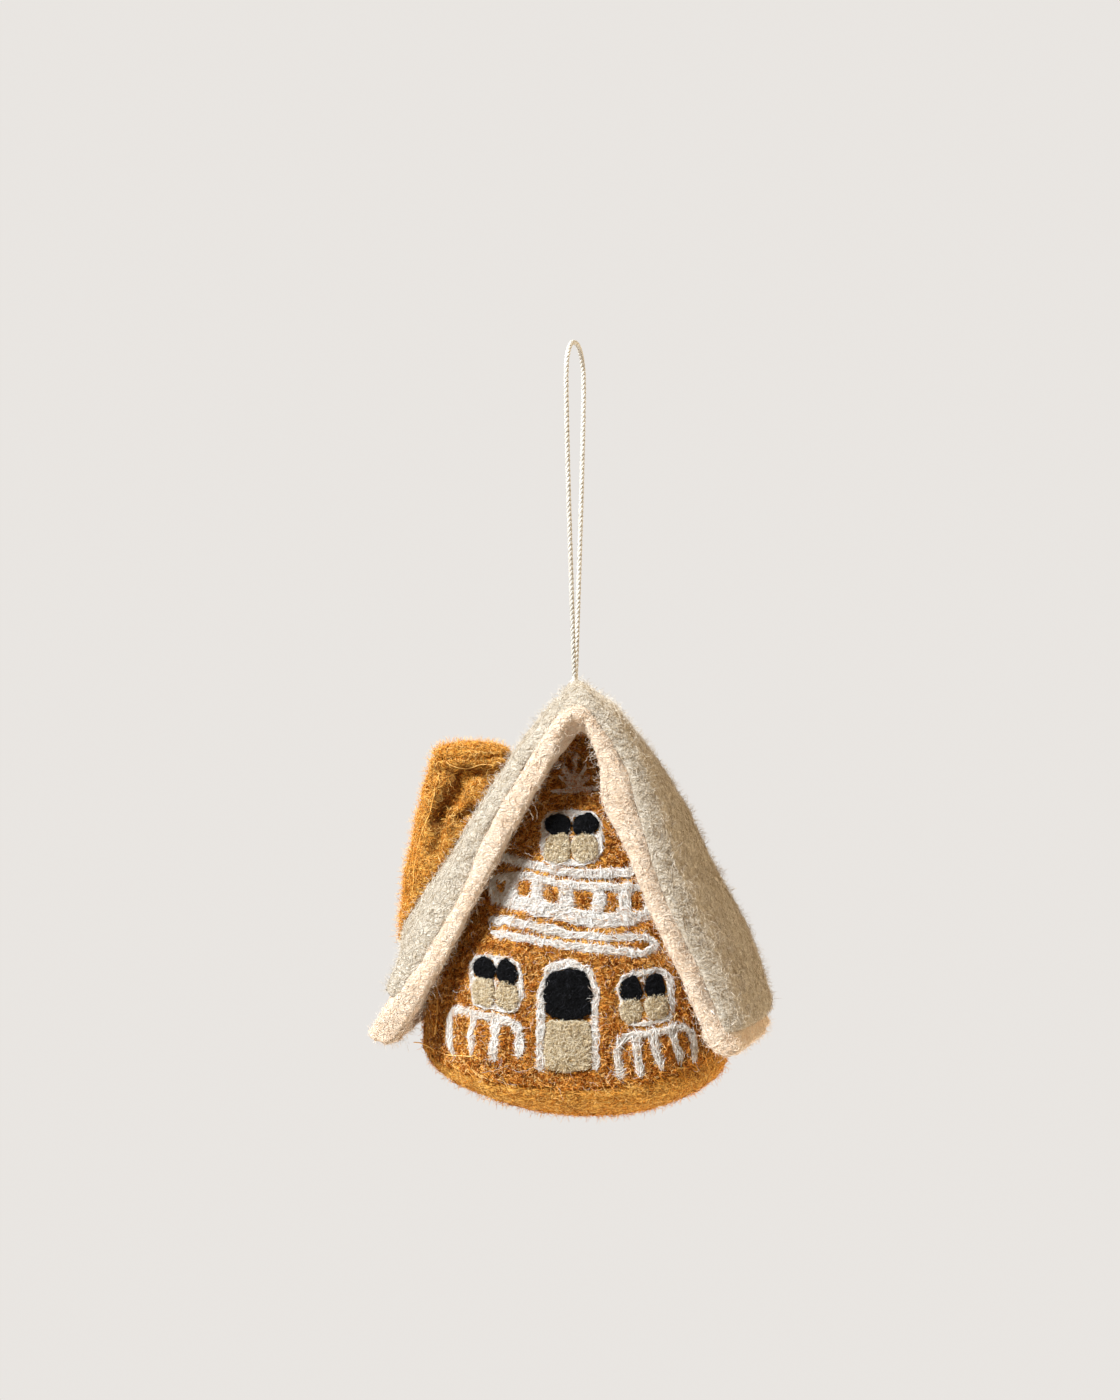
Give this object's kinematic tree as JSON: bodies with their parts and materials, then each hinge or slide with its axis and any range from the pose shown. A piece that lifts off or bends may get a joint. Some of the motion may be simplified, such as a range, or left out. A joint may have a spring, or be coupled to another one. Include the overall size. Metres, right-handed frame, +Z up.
{
  "type": "hanging felt house ornament",
  "caption": "Hanging ornament in the shape of a small stuffed felt house with a steep felt roof, a chimney, needle-felted windows and door, and a string loop.",
  "frame": {"origin": "the hang point: the inner bend at the top of the string loop", "axes": "+Z up along the string; the gable front with the door faces -Y; +X to the right seen from the front"},
  "size_m": [0.0907, 0.0654, 0.1788],
  "materials": {
    "cotton_string": "twisted cotton string",
    "sage_felt": "thick wool felt, fuzzy",
    "peach_felt": "soft wool felt with a rolled edge",
    "rust_felt": "wool felt, fuzzy",
    "mustard_felt": "wool felt, fuzzy and mottled",
    "white_wool": "needle-felted wool",
    "black_wool": "needle-felted wool",
    "beige_wool": "needle-felted wool",
    "wool_stuffing": "loose wool filling"
  },
  "bodies": {
    "loop": {"hanging_loop": "cotton_string"},
    "knot": {"loop_knot": "cotton_string"},
    "house": {"roof_cover": "sage_felt", "roof_lining": "peach_felt", "front_wall": "rust_felt", "back_wall": "rust_felt", "left_wall": "rust_felt", "right_wall": "rust_felt", "body_stuffing": "wool_stuffing", "base_pad": "mustard_felt", "front_left_seam": "mustard_felt", "front_right_seam": "mustard_felt", "back_left_seam": "mustard_felt", "back_right_seam": "mustard_felt", "base_seam": "mustard_felt", "chimney_sleeve": "mustard_felt", "chimney_cap": "mustard_felt", "chimney_stuffing": "wool_stuffing", "chimney_seam": "cotton_string", "gable_fan": "white_wool", "top_window_frame": "white_wool", "top_window_dark_left": "black_wool", "top_window_dark_right": "black_wool", "top_window_beige_left": "beige_wool", "top_window_beige_right": "beige_wool", "left_window_frame": "white_wool", "left_window_dark_left": "black_wool", "left_window_dark_right": "black_wool", "left_window_beige_left": "beige_wool", "left_window_beige_right": "beige_wool", "right_window_frame": "white_wool", "right_window_dark_left": "black_wool", "right_window_dark_right": "black_wool", "right_window_beige_left": "beige_wool", "right_window_beige_right": "beige_wool", "door_frame": "white_wool", "door_glass": "black_wool", "door_panel": "beige_wool", "balcony_rail": "white_wool", "balcony_railing": "white_wool", "lower_band": "white_wool", "left_fence": "white_wool", "right_fence": "white_wool"}
  },
  "joints": [
    {"name": "twist", "type": "hinge", "parent": "loop", "child": "knot", "pos_m": [0, 0, -0.0786], "axis": [0, 0, 1], "range_deg": [-180, 180]},
    {"name": "swing", "type": "hinge", "parent": "knot", "child": "house", "pos_m": [0, 0, -0.0786], "axis": [0, 1, 0], "range_deg": [-30, 30]}
  ]
}
